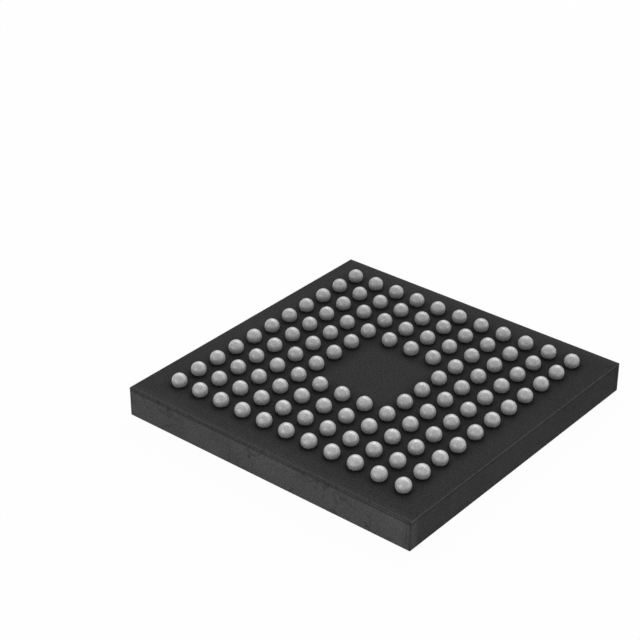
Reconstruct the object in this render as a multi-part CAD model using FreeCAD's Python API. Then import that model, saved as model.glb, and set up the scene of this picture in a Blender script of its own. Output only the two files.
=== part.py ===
import FreeCAD, Part
import math
import os

# Fine-pitch ball grid array package, lying on its moulded face with the solder balls up.
# Units are millimetres. The origin is the centre of the moulded face and +Z runs towards the balls.
# Ball A1 is at the corner with the least X and the most Y, over the dimple in the moulded face.
# Rows are lettered along +X and columns are numbered along -Y.

# Body: moulded as a strip and sawn apart, so mould and substrate share one outline with sharp upright
# corners, and only the rims of the two large faces are rounded
BODY_LENGTH = 10.0
BODY_WIDTH = 10.0
MOULD_THICKNESS = 0.70
SUBSTRATE_THICKNESS = 0.26
RIM_RADIUS = 0.04

# Pin 1 dimple in the moulded face
DIMPLE_DIAMETER = 0.50
DIMPLE_FLOOR_DIAMETER = 0.42
DIMPLE_DEPTH = 0.10
DIMPLE_INSET = 1.00

# Ball array: a square grid with a square clearing in the middle
PITCH = 0.80
ROW_LETTERS = "abcdefghjkl"
COLUMNS = 11
CLEARING = 3
BALL_DIAMETER = 0.45
STANDOFF = 0.35

# Each ball is a many-sided solid: rings of equal-sided outlines, closed by a low point at the crown
BALL_SIDES = 9
BALL_LATITUDES = (0.0, 35.0, 65.0)

# Die, bonded to the substrate with its circuit side towards the moulded face
DIE_LENGTH = 5.00
DIE_WIDTH = 5.00
DIE_THICKNESS = 0.25
ATTACH_THICKNESS = 0.03
ATTACH_MARGIN = 0.05

# Bond wires, fanned out from the pads along each die edge to the fingers on the substrate
WIRES_PER_SIDE = 14
WIRE_THICKNESS = 0.03
PAD_INSET = 0.12
PAD_ROW_MARGIN = 0.46
FINGER_PITCH = 0.46
WIRE_REACH = 1.20
WIRE_SHOULDER = 0.45
LOOP_HEIGHT = 0.14

# Levels worked out from the thicknesses
SUBSTRATE_LEVEL = MOULD_THICKNESS
BALL_FACE_LEVEL = SUBSTRATE_LEVEL + SUBSTRATE_THICKNESS
DIE_BACK_LEVEL = SUBSTRATE_LEVEL - ATTACH_THICKNESS
DIE_CIRCUIT_LEVEL = DIE_BACK_LEVEL - DIE_THICKNESS
LOOP_LEVEL = DIE_CIRCUIT_LEVEL - LOOP_HEIGHT

X_AXIS = FreeCAD.Vector(1, 0, 0)
Y_AXIS = FreeCAD.Vector(0, 1, 0)
Z_AXIS = FreeCAD.Vector(0, 0, 1)


def centred_block(length, width, low, thickness):
    """A block centred on the Z axis, standing on the level low."""
    corner = FreeCAD.Vector(-length / 2, -width / 2, low)
    return Part.makeBox(length, width, thickness, corner)


def flat_face(points):
    return Part.Face(Part.makePolygon(points + points[:1]))


def lies_level(edge):
    start, end = edge.Vertexes[0].Point, edge.Vertexes[-1].Point
    return abs(start.z - end.z) < 1e-6


def package_outline():
    """The whole body before it is divided, with the rims of its two large faces rounded."""
    block = centred_block(BODY_LENGTH, BODY_WIDTH, 0, MOULD_THICKNESS + SUBSTRATE_THICKNESS)
    rims = [edge for edge in block.Edges if lies_level(edge)]
    return block.makeFillet(RIM_RADIUS, rims)


def dimple():
    """The shallow round recess with a tapered wall that marks the corner of ball A1."""
    centre = FreeCAD.Vector(DIMPLE_INSET - BODY_LENGTH / 2, BODY_WIDTH / 2 - DIMPLE_INSET, 0)
    return Part.makeCone(DIMPLE_DIAMETER / 2, DIMPLE_FLOOR_DIAMETER / 2, DIMPLE_DEPTH, centre, Z_AXIS)


def die():
    return centred_block(DIE_LENGTH, DIE_WIDTH, DIE_CIRCUIT_LEVEL, DIE_THICKNESS)


def die_attach():
    """The adhesive film, a little larger than the die all round."""
    length = DIE_LENGTH + 2 * ATTACH_MARGIN
    width = DIE_WIDTH + 2 * ATTACH_MARGIN
    return centred_block(length, width, DIE_BACK_LEVEL, ATTACH_THICKNESS)


def mitred(before, corner, after, offset):
    """The corner moved sideways, so that both runs that meet there keep the same offset."""
    first = (corner - before).normalize()
    second = (after - corner).normalize()
    side = FreeCAD.Vector(-first.z - second.z, 0, first.x + second.x).normalize()
    squareness = side.dot(FreeCAD.Vector(-first.z, 0, first.x))
    return corner + side * (offset / squareness)


def wire_profile(span):
    """One wire's outline in the XZ plane: up from the pad at X = 0, across, and down to the finger."""
    pad = FreeCAD.Vector(0, 0, DIE_CIRCUIT_LEVEL)
    knee = FreeCAD.Vector(0, 0, LOOP_LEVEL)
    shoulder = FreeCAD.Vector(WIRE_SHOULDER, 0, LOOP_LEVEL)
    finger = FreeCAD.Vector(span, 0, SUBSTRATE_LEVEL)
    descent = (finger - shoulder).normalize()
    sides = []
    for offset in (WIRE_THICKNESS / 2, -WIRE_THICKNESS / 2):
        on_pad = pad + X_AXIS * offset
        on_finger = finger - X_AXIS * (offset / descent.z)
        bends = [mitred(pad, knee, shoulder, offset), mitred(knee, shoulder, finger, offset)]
        sides.append([on_pad] + bends + [on_finger])
    return flat_face(sides[0] + sides[1][::-1])


def bond_wire(pad_x, pad_y, finger_x, finger_y):
    """One wire from its pad to its finger, seen in plan as a straight line between them."""
    run = FreeCAD.Vector(finger_x - pad_x, finger_y - pad_y, 0)
    wire = wire_profile(run.Length).extrude(Y_AXIS * WIRE_THICKNESS)
    wire.translate(Y_AXIS * (-WIRE_THICKNESS / 2))
    wire.rotate(FreeCAD.Vector(0, 0, 0), Z_AXIS, math.degrees(math.atan2(run.y, run.x)))
    wire.translate(FreeCAD.Vector(pad_x, pad_y, 0))
    return wire


def bond_wires(quarter_turns):
    """The wires along one die edge: the edge that faces +X, turned about Z by quarter turns."""
    across, along = (DIE_LENGTH, DIE_WIDTH) if quarter_turns % 2 == 0 else (DIE_WIDTH, DIE_LENGTH)
    pad_x = across / 2 - PAD_INSET
    pad_pitch = (along - 2 * PAD_ROW_MARGIN) / (WIRES_PER_SIDE - 1)
    wires = []
    for i in range(WIRES_PER_SIDE):
        step = i - (WIRES_PER_SIDE - 1) / 2
        wires.append(bond_wire(pad_x, step * pad_pitch, pad_x + WIRE_REACH, step * FINGER_PITCH))
    group = Part.makeCompound(wires)
    group.rotate(FreeCAD.Vector(0, 0, 0), Z_AXIS, 90 * quarter_turns)
    return group


def ring(radius, level):
    """One ring of a ball: an equal-sided outline that holds the same area as a circle of this radius."""
    step = 2 * math.pi / BALL_SIDES
    reach = radius * math.sqrt(step / math.sin(step))
    angles = [step * i for i in range(BALL_SIDES)]
    return [FreeCAD.Vector(reach * math.cos(a), reach * math.sin(a), level) for a in angles]


def solder_ball():
    """A reflowed ball: a sphere cut flat where it wets its land, with the centre of that seat at the origin."""
    radius = BALL_DIAMETER / 2
    centre = STANDOFF - radius
    rings = [ring(math.sqrt(radius ** 2 - centre ** 2), 0)]
    for latitude in BALL_LATITUDES:
        angle = math.radians(latitude)
        rings.append(ring(radius * math.cos(angle), centre + radius * math.sin(angle)))
    crown = FreeCAD.Vector(0, 0, STANDOFF)
    faces = [flat_face(rings[0])]
    for low, high in zip(rings, rings[1:]):
        for i in range(BALL_SIDES):
            faces.append(flat_face([low[i - 1], low[i], high[i], high[i - 1]]))
    for i in range(BALL_SIDES):
        faces.append(flat_face([rings[-1][i - 1], rings[-1][i], crown]))
    return Part.Solid(Part.Shell(faces))


def in_clearing(row, column):
    """Whether this place of the grid is in the empty square in the middle."""
    from_middle = max(abs(row - (len(ROW_LETTERS) - 1) / 2), abs(column - (COLUMNS - 1) / 2))
    return from_middle < CLEARING / 2


def ball_row(row, ball):
    """One lettered row: the same ball at each place of the row that holds one."""
    balls = []
    for column in range(COLUMNS):
        if in_clearing(row, column):
            continue
        x = (row - (len(ROW_LETTERS) - 1) / 2) * PITCH
        y = ((COLUMNS - 1) / 2 - column) * PITCH
        placed = ball.copy()
        placed.translate(FreeCAD.Vector(x, y, BALL_FACE_LEVEL))
        balls.append(placed)
    return Part.makeCompound(balls)


def mould_cap(outline, embedded):
    """The moulding compound: the body below the substrate, cast round the die, its film and the wires."""
    lower = centred_block(BODY_LENGTH, BODY_WIDTH, 0, MOULD_THICKNESS)
    cap = outline.common(lower).cut(dimple())
    return cap.cut(embedded)


def substrate(outline):
    """The laminate board, with its copper lands and solder mask bonded into one piece."""
    upper = centred_block(BODY_LENGTH, BODY_WIDTH, SUBSTRATE_LEVEL, SUBSTRATE_THICKNESS)
    return outline.common(upper)


def build():
    outline = package_outline()
    pieces = {"die": die(), "die_attach": die_attach()}
    for quarter_turns, side in enumerate(("right", "back", "left", "front")):
        pieces["bond_wires_" + side] = bond_wires(quarter_turns)
    pieces["mould_cap"] = mould_cap(outline, list(pieces.values()))
    pieces["substrate"] = substrate(outline)
    ball = solder_ball()
    for row, letter in enumerate(ROW_LETTERS):
        pieces["solder_balls_row_" + letter] = ball_row(row, ball)
    return pieces


os.makedirs("parts", exist_ok=True)
for name, shape in build().items():
    shape.exportStep("parts/" + name + ".step")
    state = "valid" if shape.isValid() else "INVALID"
    print(name, len(shape.Solids), "solids,", round(shape.Volume, 4), "mm3,", state)
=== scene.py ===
import math
import bmesh
import bpy
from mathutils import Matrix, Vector, noise


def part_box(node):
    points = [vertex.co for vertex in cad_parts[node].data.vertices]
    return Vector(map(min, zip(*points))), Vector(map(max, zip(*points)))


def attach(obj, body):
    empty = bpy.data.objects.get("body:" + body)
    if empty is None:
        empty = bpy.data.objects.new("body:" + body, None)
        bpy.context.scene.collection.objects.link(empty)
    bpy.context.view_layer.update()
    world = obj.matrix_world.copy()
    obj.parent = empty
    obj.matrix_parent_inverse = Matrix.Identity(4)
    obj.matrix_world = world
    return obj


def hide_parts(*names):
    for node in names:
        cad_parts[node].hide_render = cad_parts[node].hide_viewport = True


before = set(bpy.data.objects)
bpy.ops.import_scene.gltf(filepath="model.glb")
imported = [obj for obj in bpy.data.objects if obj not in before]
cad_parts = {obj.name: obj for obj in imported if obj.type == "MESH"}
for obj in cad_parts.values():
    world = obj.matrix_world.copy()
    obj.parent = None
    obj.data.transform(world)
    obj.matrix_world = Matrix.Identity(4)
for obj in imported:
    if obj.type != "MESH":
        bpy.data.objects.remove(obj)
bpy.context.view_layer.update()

# A ball grid array package lying on its moulded face, solder balls up. Lengths are metres.
# The origin is the centre of the moulded face; ball A1 is at the corner of least X and most Y.

MM = 0.001

# Camera: seen from the front right of the package, looking down on the balls
CAMERA_LENS = 100.0
SENSOR_WIDTH = 36.0
CLIP_START = 1 * MM
CLIP_END = 10.0
CAMERA_PLACE = (26.424 * MM, -34.365 * MM, 27.892 * MM)
CAMERA_AZIMUTH = 39.730
CAMERA_ELEVATION = 30.111

# Studio: soft square lamps round the package. Bearings run anticlockwise from +X, in degrees.
# name, bearing, height in degrees, brightness of its face
LAMPS = (
    ("back", 127.6, 45.0, 2.2),
    ("back_right", 82.6, 45.0, 1.5),
    ("back_left", 172.6, 45.0, 0.5),
    ("front_left", 262.6, 17.0, 0.95),
    ("right", 37.6, 17.0, 0.55),
)
LAMP_DISTANCE = 200 * MM
LAMP_SIDE = 110 * MM
WORLD_BRIGHTNESS = 0.49
FLOOR_SIZE = 4.0
FLOOR_STRENGTH = 0.9
FLOOR_GLOW = 0.97

# Body: half its width, and the level of the face that carries the balls
HALF_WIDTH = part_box("substrate")[1][0]
BALL_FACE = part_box("substrate")[1][2]
ACROSS = (-HALF_WIDTH, HALF_WIDTH)

# Ball array: a square grid with a square clearing in the middle, lettered without an i as is usual
PITCH = 0.80 * MM
ROW_LETTERS = "abcdefghjkl"
COLUMNS = 11
CLEARING = 3
BALL_RADIUS = 0.225 * MM
STANDOFF = 0.35 * MM
BALL_CENTRE = STANDOFF - BALL_RADIUS

# Mesh of a ball, and how its skin strays from a true sphere: by this share of the radius, in
# waves across a ball that differ from one ball to the next, with finer waves on top
BALL_AROUND = 44
BALL_RINGS = 24
UNEVENNESS = 0.002
WAVES = 1.6
WAVES_PER_PITCH = 3.7
FINER_WAVES = 2.3
FINER_SHARE = 0.5

# Parts of the black body, told apart by the size of the normal's Z: sawn side, crest of the rim
# and flat face. The size of its Y tells the sides that face Y from those that face X.
SAWN_LEAN = (0.10, 0.30)
CREST_LEAN = (0.5, 0.8)
FACE_LEAN = (0.90, 0.98)
SIDE_TURN = (0.4, 0.6)
RIM_TURN = (0.2, 0.4)

# Strength of each black surface, which the shares that follow vary, down to the solder. X and Y
# after a sawn side's value or a rim's stand for the pair of sides that faces that way.
MOULD_STRENGTH = 0.044
MASK_STRENGTH = 0.037
# Painted light: the sawn sides that face Y are more than twice as strong as those that face X.
SAWN_STRENGTH_X = 0.043
SAWN_STRENGTH_Y = 0.098

# Faces: painted light along the Y edges, over a broad border and more on a narrow band beside their
# rims, and a painted light gradient along X and along Y
BORDER = (HALF_WIDTH - 0.35 * MM, HALF_WIDTH - 0.03 * MM)
BORDER_PAINTED_LIGHT = 1.22
CREASE = (HALF_WIDTH - 0.09 * MM, HALF_WIDTH - 0.05 * MM)
CREASE_PAINTED_LIGHT = 1.25
FACE_LIGHT_DRIFT_X = (1.05, 0.95)
FACE_LIGHT_DRIFT_Y = (1.03, 0.97)

# Rims: painted highlights, with some wear, on the crest, beside the face, and on the foot, beside
# the sawn side
RIM_CREST_X = 1.2
RIM_FOOT_X = 2.2
RIM_CREST_Y = 2.3
RIM_FOOT_Y = 1.2

# Ball face: painted shade round each ball's seat and across the array. In pitches from the middle
# of a seat or of the array: where each shade fades out
SEAT = (0.21, 0.50)
SEAT_SHADE = 0.5
SEATS_INNER = (CLEARING / 2 - 0.01, CLEARING / 2 + 0.01)
SEATS_OUTER = (COLUMNS / 2 - 0.01, COLUMNS / 2 + 0.01)
ARRAY_INNER = (CLEARING / 2 - 0.35, CLEARING / 2 + 0.30)
ARRAY_OUTER = (COLUMNS / 2 - 0.48, COLUMNS / 2 + 0.28)
ARRAY_SHADE = 0.68

# Sawn sides, from the bottom up: a foot painted paler, as if lit by the floor, a darker band, and
# a line between band and rim, a painted glint on the sides that face X and darker on those facing Y
FOOT = (0.0, 0.6 * MM)
FOOT_PAINTED_LIGHT = 1.15
DARK_BAND_LOW = (BALL_FACE - 0.145 * MM, BALL_FACE - 0.11 * MM)
DARK_BAND_HIGH = (BALL_FACE - 0.09 * MM, BALL_FACE - 0.05 * MM)
DARK_BAND_LEFT_ABOVE = 0.3
DARK_BAND_TONE_X = 0.72
DARK_BAND_TONE_Y = 0.54
UNDER_RIM = (BALL_FACE - 0.075 * MM, BALL_FACE - 0.05 * MM)
UNDER_RIM_X = 1.6
UNDER_RIM_Y = 0.88

# Sawn sides, along the cut: painted light where it starts on the sides that face X, painted shade
# where it ends and at each corner, and a painted light gradient along the cut
CUT_START = (-HALF_WIDTH + 0.14 * MM, -HALF_WIDTH + 0.40 * MM)
CUT_START_PAINTED_LIGHT = 1.6
CUT_END = (HALF_WIDTH - 0.30 * MM, HALF_WIDTH - 0.14 * MM)
CUT_END_SHADE = 0.82
CORNER = (HALF_WIDTH - 0.06 * MM, HALF_WIDTH - 0.03 * MM)
CORNER_SHADE = 0.7
SIDE_LIGHT_DRIFT_X = (1.06, 0.85)
SIDE_LIGHT_DRIFT_Y = (0.91, 1.06)

# Marks of the saw: the shade of a smear and of a scratch, how far a scratch reaches to each side
# in the noise that draws it, and the share of the marks that shows on the sides that face X
SMEAR_SHADE = 0.88
SCRATCH_SHADE = 0.62
SCRATCH_REACH = 0.014
MARKS_SHARE_X = 0.4

# Solder: painted shade at the foot of each ball, a painted highlight at its crown, and a painted
# light gradient along X and along Y
BALL_MIDDLE = BALL_FACE + STANDOFF - BALL_RADIUS
BALL_FOOT = (BALL_MIDDLE - 0.13 * MM, BALL_MIDDLE)
BALL_FOOT_SHADE = 0.90
BALL_CROWN = (BALL_MIDDLE, BALL_MIDDLE + 0.2 * MM)
BALL_CROWN_SHINE = 1.02
ARRAY_ACROSS = (-4.5 * MM, 4.5 * MM)
SOLDER_LIGHT_DRIFT_X = (0.955, 1.045)
SOLDER_LIGHT_DRIFT_Y = (1.10, 0.90)


def grey(value):
    """A neutral grey of this strength, as a colour."""
    return (value, value, value, 1.0)


def outward(height, bearing):
    """The direction at this height above the level and this bearing, both angles in radians."""
    level = math.cos(height)
    return Vector((level * math.cos(bearing), level * math.sin(bearing), math.sin(height)))


def make_camera():
    data = bpy.data.cameras.new("camera")
    data.lens = CAMERA_LENS
    data.sensor_width = SENSOR_WIDTH
    data.clip_start = CLIP_START
    data.clip_end = CLIP_END
    camera = bpy.data.objects.new("camera", data)
    camera.location = CAMERA_PLACE
    camera.rotation_euler = (math.radians(90 - CAMERA_ELEVATION), 0, math.radians(CAMERA_AZIMUTH))
    bpy.context.collection.objects.link(camera)
    bpy.context.scene.camera = camera


# Node materials


class Material:
    """A new material with its nodes. A value is a number or the output of a node."""

    def __init__(self, name):
        self.data = bpy.data.materials.new(name)
        self.data.use_nodes = True
        self.nodes = self.data.node_tree.nodes
        self.links = self.data.node_tree.links
        self.shader = self.nodes["Principled BSDF"]

    def plug(self, sockets, values):
        """Set a number on its socket itself, and link an output to it."""
        for socket, value in zip(sockets, values):
            if isinstance(value, (int, float)):
                socket.default_value = value
            else:
                self.links.new(value, socket)

    def surface(self, settings):
        """Values for the shader's sockets, by name."""
        self.plug([self.shader.inputs[name] for name in settings], settings.values())

    def axes(self, kind):
        """X, Y and Z of the object coordinates or of the normal."""
        coordinates = self.nodes.new("ShaderNodeTexCoord")
        split = self.nodes.new("ShaderNodeSeparateXYZ")
        self.links.new(coordinates.outputs[kind], split.inputs[0])
        return split.outputs

    def math(self, operation, *values):
        node = self.nodes.new("ShaderNodeMath")
        node.operation = operation
        self.plug(node.inputs, values)
        return node.outputs[0]

    def size(self, value):
        """The value without its sign."""
        return self.math("ABSOLUTE", value)

    def product(self, first, *others):
        for factor in others:
            first = self.math("MULTIPLY", first, factor)
        return first

    def mix(self, share, at_none, at_all):
        """The value at_none where the share is 0, at_all where it is 1, and a mix between."""
        node = self.nodes.new("ShaderNodeMix")
        node.data_type = "FLOAT"
        self.plug(node.inputs[:1] + node.inputs[2:4], (share, at_none, at_all))
        return node.outputs[0]

    def ramp(self, value, ends, results, smooth=False):
        """The value carried from one range to another, and held beyond both ends."""
        node = self.nodes.new("ShaderNodeMapRange")
        node.interpolation_type = "SMOOTHSTEP" if smooth else "LINEAR"
        node.inputs["From Min"].default_value, node.inputs["From Max"].default_value = ends
        node.inputs["To Min"].default_value, node.inputs["To Max"].default_value = results
        self.links.new(value, node.inputs["Value"])
        return node.outputs[0]

    def noise(self, feature, detail=2.0, roughness=0.5):
        """Noise with features of this size in metres."""
        node = self.nodes.new("ShaderNodeTexNoise")
        coordinates = self.nodes.new("ShaderNodeTexCoord")
        self.links.new(coordinates.outputs["Object"], node.inputs["Vector"])
        node.inputs["Scale"].default_value = 1.0 / feature
        node.inputs["Detail"].default_value = detail
        node.inputs["Roughness"].default_value = roughness
        return node.outputs["Fac"]

    def varied(self, feature, results, detail=2.0, roughness=0.5, ends=(0.3, 0.7)):
        """A value that noise varies over the surface, from the first result to the second."""
        return self.ramp(self.noise(feature, detail, roughness), ends, results)

    def tinted(self, strength, tint):
        """A colour of this tint whose strength varies over the surface."""
        node = self.nodes.new("ShaderNodeCombineColor")
        self.plug(node.inputs, [self.product(strength, share) for share in tint])
        return node.outputs[0]

    def bump(self, height, distance, strength):
        node = self.nodes.new("ShaderNodeBump")
        node.inputs["Strength"].default_value = strength
        node.inputs["Distance"].default_value = distance
        self.links.new(height, node.inputs["Height"])
        return node.outputs["Normal"]


# Studio


def make_world():
    """Even light from all round, and white where the camera sees past the floor."""
    world = bpy.data.worlds.new("studio")
    world.use_nodes = True
    nodes, links = world.node_tree.nodes, world.node_tree.links
    light = nodes["Background"]
    light.inputs["Color"].default_value = grey(1.0)
    light.inputs["Strength"].default_value = WORLD_BRIGHTNESS
    backdrop = nodes.new("ShaderNodeBackground")
    backdrop.inputs["Color"].default_value = grey(1.0)
    backdrop.inputs["Strength"].default_value = 1.0
    path = nodes.new("ShaderNodeLightPath")
    choice = nodes.new("ShaderNodeMixShader")
    links.new(path.outputs["Is Camera Ray"], choice.inputs[0])
    links.new(light.outputs[0], choice.inputs[1])
    links.new(backdrop.outputs[0], choice.inputs[2])
    links.new(choice.outputs[0], nodes["World Output"].inputs[0])
    bpy.context.scene.world = world


def area_lamp(name, bearing, height, brightness):
    """A square lamp aimed at the package, where a brightness of 1 is white."""
    direction = outward(math.radians(height), math.radians(bearing))
    data = bpy.data.lights.new(name, "AREA")
    data.shape = "SQUARE"
    data.size = LAMP_SIDE
    data.energy = brightness * math.pi * LAMP_SIDE ** 2
    lamp = bpy.data.objects.new(name, data)
    lamp.location = direction * LAMP_DISTANCE
    lamp.rotation_euler = direction.to_track_quat("Z", "Y").to_euler()
    bpy.context.collection.objects.link(lamp)


def white_floor():
    """White to the camera and in reflections, but for a small share that shows the shadow."""
    floor = Material("white_floor")
    floor.shader.inputs["Base Color"].default_value = grey(FLOOR_STRENGTH)
    floor.surface({"Roughness": 0.9, "Specular IOR Level": 0.0})
    glow = floor.nodes.new("ShaderNodeEmission")
    glow.inputs["Color"].default_value = grey(1.0)
    glow.inputs["Strength"].default_value = 1.0
    path = floor.nodes.new("ShaderNodeLightPath").outputs
    seen = floor.math("ADD", path["Is Camera Ray"], path["Is Glossy Ray"])
    seen = floor.math("ADD", seen, path["Is Transmission Ray"])
    share = floor.product(floor.math("MINIMUM", seen, 1.0), FLOOR_GLOW)
    mix = floor.nodes.new("ShaderNodeMixShader")
    floor.plug(mix.inputs, (share, floor.shader.outputs[0], glow.outputs[0]))
    floor.links.new(mix.outputs[0], floor.nodes["Material Output"].inputs["Surface"])
    return floor.data


def make_floor():
    bpy.ops.mesh.primitive_plane_add(size=FLOOR_SIZE, location=(0, 0, 0))
    floor = bpy.context.object
    floor.name = "floor"
    floor.data.materials.append(white_floor())


# Black body


def sawn_marks(body, facing_y):
    """Smears and scratches that the saw left."""
    smears = body.varied(1.1 * MM, (SMEAR_SHADE, 1.0), detail=5.0, roughness=0.62, ends=(0.36, 0.54))
    from_vein = body.size(body.math("SUBTRACT", body.noise(1.25 * MM, detail=3.0), 0.5))
    scratches = body.ramp(from_vein, (0.0, SCRATCH_REACH), (SCRATCH_SHADE, 1.0))
    scratched = body.varied(1.3 * MM, (0.0, 1.0), detail=1.0, ends=(0.45, 0.52))
    marks = body.product(smears, body.mix(scratched, 1.0, scratches))
    return body.mix(body.mix(facing_y, MARKS_SHARE_X, 1.0), 1.0, marks)


def sawn_upward(body, height, facing_y):
    """How a sawn side changes from its foot to its rim; the foot and a glint under the rim are
    painted light.
    """
    # painted light: the foot is paler, as if lit by the floor
    foot = body.ramp(height, FOOT, (FOOT_PAINTED_LIGHT, 1.0))
    low = body.ramp(height, DARK_BAND_LOW, (0.0, 1.0), smooth=True)
    high = body.ramp(height, DARK_BAND_HIGH, (1.0, DARK_BAND_LEFT_ABOVE), smooth=True)
    band_tone = body.mix(facing_y, DARK_BAND_TONE_X, DARK_BAND_TONE_Y)
    dark_band = body.mix(body.product(low, high), 1.0, band_tone)
    # painted glint just under the rim on the sides that face X; a little darker on those that face Y
    under_rim = body.ramp(height, UNDER_RIM, (0.0, 1.0), smooth=True)
    line = body.mix(under_rim, 1.0, body.mix(facing_y, UNDER_RIM_X, UNDER_RIM_Y))
    return body.product(foot, dark_band, line)


def sawn_along(body, place, normal, facing_y):
    """Painted light and shade along a sawn side's cut, which runs anticlockwise round the body."""
    ahead = body.product(normal["X"], place["Y"])
    aside = body.product(normal["Y"], place["X"])
    run = body.math("SUBTRACT", ahead, aside)
    # painted light where the cut starts, painted shade where it ends
    start = body.ramp(run, CUT_START, (1.0, 0.0), smooth=True)
    start_light = body.mix(start, 1.0, body.mix(facing_y, CUT_START_PAINTED_LIGHT, 1.0))
    end = body.ramp(run, CUT_END, (0.0, 1.0), smooth=True)
    end_shade = body.mix(end, 1.0, CUT_END_SHADE)
    # painted shade at each corner
    corner = body.ramp(body.size(run), CORNER, (1.0, CORNER_SHADE), smooth=True)
    # painted light gradient along the cut
    light_drift_x = body.ramp(run, ACROSS, SIDE_LIGHT_DRIFT_X)
    light_drift_y = body.ramp(run, ACROSS, SIDE_LIGHT_DRIFT_Y)
    return body.product(start_light, end_shade, corner, body.mix(facing_y, light_drift_x, light_drift_y))


def sawn_tone(body, place, normal):
    """Strength of the sawn sides, with painted light and shade."""
    facing_y = body.ramp(body.size(normal["Y"]), SIDE_TURN, (0.0, 1.0))
    # Painted light: the sides that face Y are made far brighter than those that face X.
    plain = body.mix(facing_y, SAWN_STRENGTH_X, SAWN_STRENGTH_Y)
    marks = sawn_marks(body, facing_y)
    upward = sawn_upward(body, place["Z"], facing_y)
    along = sawn_along(body, place, normal, facing_y)
    return body.product(plain, marks, upward, along)


def rim_tone(body, normal, lean):
    """Share of the strength on the rounded rims: painted highlights, with some wear."""
    crest = body.ramp(lean, CREST_LEAN, (0.0, 1.0), smooth=True)
    facing_y = body.ramp(body.size(normal["Y"]), RIM_TURN, (0.0, 1.0))
    # painted highlights, with some wear, on the rims
    rim_highlight_and_wear_x = body.mix(crest, RIM_FOOT_X, RIM_CREST_X)
    rim_highlight_and_wear_y = body.mix(crest, RIM_FOOT_Y, RIM_CREST_Y)
    return body.mix(facing_y, rim_highlight_and_wear_x, rim_highlight_and_wear_y)


def face_tone(body, place):
    """Share of the strength on the two large faces, with painted light."""
    reach = body.size(place["Y"])
    # painted light along the Y edges
    border = body.ramp(reach, BORDER, (1.0, BORDER_PAINTED_LIGHT), smooth=True)
    crease = body.ramp(reach, CREASE, (1.0, CREASE_PAINTED_LIGHT), smooth=True)
    # painted light gradient along X and along Y
    light_drift_x = body.ramp(place["X"], ACROSS, FACE_LIGHT_DRIFT_X)
    light_drift_y = body.ramp(place["Y"], ACROSS, FACE_LIGHT_DRIFT_Y)
    return body.product(border, crease, light_drift_x, light_drift_y)


def within_array(body, reach, inner, outer, smooth=False):
    """1 where the array has balls, and 0 in its clearing and outside it."""
    from_clearing = body.ramp(reach, inner, (0.0, 1.0), smooth)
    to_edge = body.ramp(reach, outer, (1.0, 0.0), smooth)
    return body.product(from_clearing, to_edge)


def seat_tone(body, place):
    """Share of the strength round the balls: painted shade, most of all round each seat."""
    pitches = [body.math("DIVIDE", place[axis], PITCH) for axis in "XY"]
    steps = [body.math("PINGPONG", pitch, 0.5) for pitch in pitches]
    squares = [body.product(step, step) for step in steps]
    from_seat = body.math("SQRT", body.math("ADD", *squares))
    # painted shade in a ring round each seat
    seat_shadow = body.ramp(from_seat, SEAT, (SEAT_SHADE, 1.0), smooth=True)
    reach = body.math("MAXIMUM", *[body.size(pitch) for pitch in pitches])
    seats = within_array(body, reach, SEATS_INNER, SEATS_OUTER)
    # painted shade across the array
    array = within_array(body, reach, ARRAY_INNER, ARRAY_OUTER, smooth=True)
    return body.product(body.mix(seats, 1.0, seat_shadow), body.mix(array, 1.0, ARRAY_SHADE))


def black_body(name, strength, seats):
    """Black package surface: fine grain, some wear on the rims, and painted light, shade and
    highlights.
    """
    body = Material(name)
    place = body.axes("Object")
    normal = body.axes("Normal")
    lean = body.size(normal["Z"])
    sawn = body.ramp(lean, SAWN_LEAN, (1.0, 0.0))
    flat = body.ramp(lean, FACE_LEAN, (0.0, 1.0))

    face = face_tone(body, place)
    if seats:
        face = body.product(face, seat_tone(body, place))
    uncut = body.product(body.mix(flat, rim_tone(body, normal, lean), face), strength)
    tone = body.mix(sawn, uncut, sawn_tone(body, place, normal))

    speckle = body.varied(0.06 * MM, (0.45, 1.55), roughness=0.8, ends=(0.25, 0.75))
    blotches = body.varied(0.055 * MM, (0.56, 1.44), roughness=0.8, ends=(0.25, 0.75))
    patches = body.varied(1.6 * MM, (0.95, 1.05), detail=3.0)
    base = body.product(body.mix(sawn, speckle, blotches), patches, tone)
    grain = body.noise(0.04 * MM, detail=3.0, roughness=0.6)
    body.surface({
        "Base Color": body.tinted(base, tint=(1.0, 1.0, 1.0)),
        "Roughness": body.varied(0.25 * MM, (0.56, 0.68), detail=3.0),
        "Specular IOR Level": 0.04,
        "Normal": body.bump(grain, distance=0.006 * MM, strength=0.7),
    })
    return body.data


# Other materials


def solder():
    """Reflowed solder: satin, mottled by its grains and by a thin skin of oxide, with painted light
    and shade.
    """
    metal = Material("solder")
    place = metal.axes("Object")
    mottle = metal.varied(0.05 * MM, (0.46, 0.76), detail=3.0, roughness=0.7)
    # painted shade at the foot of each ball and a painted highlight at its crown
    foot = metal.ramp(place["Z"], BALL_FOOT, (BALL_FOOT_SHADE, 1.0))
    crown = metal.ramp(place["Z"], BALL_CROWN, (1.0, BALL_CROWN_SHINE))
    # painted light gradient across the array
    light_drift_x = metal.ramp(place["X"], ARRAY_ACROSS, SOLDER_LIGHT_DRIFT_X)
    light_drift_y = metal.ramp(place["Y"], ARRAY_ACROSS, SOLDER_LIGHT_DRIFT_Y)
    tone = metal.product(mottle, foot, crown, light_drift_x, light_drift_y)
    skin = metal.noise(0.045 * MM, detail=3.0, roughness=0.6)
    metal.surface({
        "Base Color": metal.tinted(tone, tint=(1.0, 0.998, 1.002)),
        "Metallic": 0.32,
        "Roughness": metal.varied(0.06 * MM, (0.30, 0.42), detail=3.0),
        "Sheen Weight": 0.2,
        "Sheen Roughness": 0.4,
        "Normal": metal.bump(skin, distance=0.004 * MM, strength=0.8),
    })
    return metal.data


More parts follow.
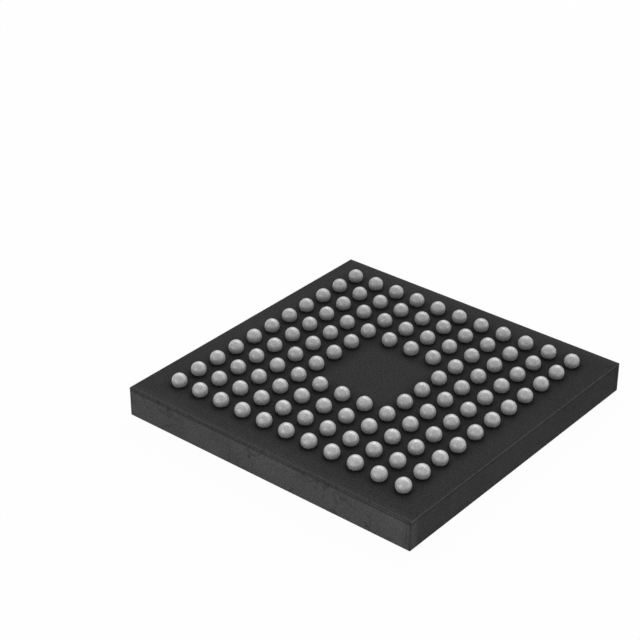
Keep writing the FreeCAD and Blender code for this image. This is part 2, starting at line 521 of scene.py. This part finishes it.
def silicon():
    """Bare silicon with a faintly uneven polish."""
    wafer = Material("silicon")
    polish = wafer.varied(0.4 * MM, (0.16, 0.20))
    wafer.surface({
        "Base Color": wafer.tinted(polish, tint=(0.95, 0.97, 1.1)),
        "Metallic": 0.6,
        "Roughness": wafer.varied(0.1 * MM, (0.15, 0.30)),
    })
    return wafer.data


def adhesive():
    """Cured die-attach film, slightly cloudy."""
    film = Material("adhesive")
    cloud = film.varied(0.3 * MM, (0.65, 0.80), detail=3.0)
    film.surface({
        "Base Color": film.tinted(cloud, tint=(1.0, 0.98, 0.92)),
        "Roughness": 0.5,
    })
    return film.data


def gold():
    """Drawn gold wire, finely uneven."""
    wire = Material("gold")
    wear = wire.varied(0.02 * MM, (0.85, 0.95))
    wire.surface({
        "Base Color": wire.tinted(wear, tint=(1.0, 0.75, 0.33)),
        "Metallic": 1.0,
        "Roughness": wire.varied(0.02 * MM, (0.2, 0.35)),
    })
    return wire.data


def dress(node, material):
    """Give a CAD node this material in each of its slots."""
    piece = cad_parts[node]
    if not piece.material_slots:
        piece.data.materials.append(material)
    for slot in piece.material_slots:
        slot.material = material


# Solder balls


def ball_places(row):
    """The seats of one lettered row's balls on the ball face."""
    middle = (COLUMNS - 1) / 2
    places = []
    for column in range(COLUMNS):
        if max(abs(row - middle), abs(column - middle)) < CLEARING / 2:
            continue
        places.append(Vector(((row - middle) * PITCH, (middle - column) * PITCH, BALL_FACE)))
    return places


def uneven(direction, place):
    """How far a ball's skin strays from a true sphere here, as a share of its radius."""
    where = direction * WAVES + place / PITCH * WAVES_PER_PITCH
    return UNEVENNESS * (noise.noise(where) + FINER_SHARE * noise.noise(where * FINER_WAVES))


def add_ball(mesh, place):
    """A round ball, cut flat at the seat, where its skin is true."""
    centre = place + Vector((0, 0, BALL_CENTRE))
    low = -math.asin(BALL_CENTRE / BALL_RADIUS)
    rings = []
    for i in range(BALL_RINGS):
        latitude = low + (math.pi / 2 - low) * i / BALL_RINGS
        freedom = math.sin(math.pi * i / BALL_RINGS) if i < BALL_RINGS / 2 else 1.0
        ring = []
        for j in range(BALL_AROUND):
            direction = outward(latitude, 2 * math.pi * j / BALL_AROUND)
            reach = BALL_RADIUS * (1 + freedom * uneven(direction, place))
            ring.append(mesh.verts.new(centre + direction * reach))
        rings.append(ring)
    reach = BALL_RADIUS * (1 + uneven(Vector((0, 0, 1)), place))
    crown = mesh.verts.new(place + Vector((0, 0, BALL_CENTRE + reach)))
    mesh.faces.new(rings[0][::-1])
    for lower, upper in zip(rings, rings[1:]):
        for j in range(BALL_AROUND):
            mesh.faces.new((lower[j - 1], lower[j], upper[j], upper[j - 1]))
    for j in range(BALL_AROUND):
        mesh.faces.new((rings[-1][j - 1], rings[-1][j], crown))


def make_ball_row(row, letter, material):
    """The balls of one lettered row, smooth all over but for their flat seats."""
    mesh = bmesh.new()
    for place in ball_places(row):
        add_ball(mesh, place)
    data = bpy.data.meshes.new("balls_row_" + letter)
    mesh.to_mesh(data)
    mesh.free()
    for polygon in data.polygons:
        polygon.use_smooth = len(polygon.vertices) <= 4
    data.materials.append(material)
    piece = bpy.data.objects.new("balls_row_" + letter, data)
    bpy.context.collection.objects.link(piece)
    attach(piece, "root")
    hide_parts("solder_balls_row_" + letter)


make_camera()
make_world()
make_floor()
for lamp in LAMPS:
    area_lamp(*lamp)
bpy.context.scene.view_settings.view_transform = "Standard"

dress("mould_cap", black_body("black_mould", MOULD_STRENGTH, seats=False))
dress("substrate", black_body("black_mask", MASK_STRENGTH, seats=True))
dress("die", silicon())
dress("die_attach", adhesive())
wire = gold()
for side in ("right", "back", "left", "front"):
    dress("bond_wires_" + side, wire)
metal = solder()
for row, letter in enumerate(ROW_LETTERS):
    make_ball_row(row, letter, metal)
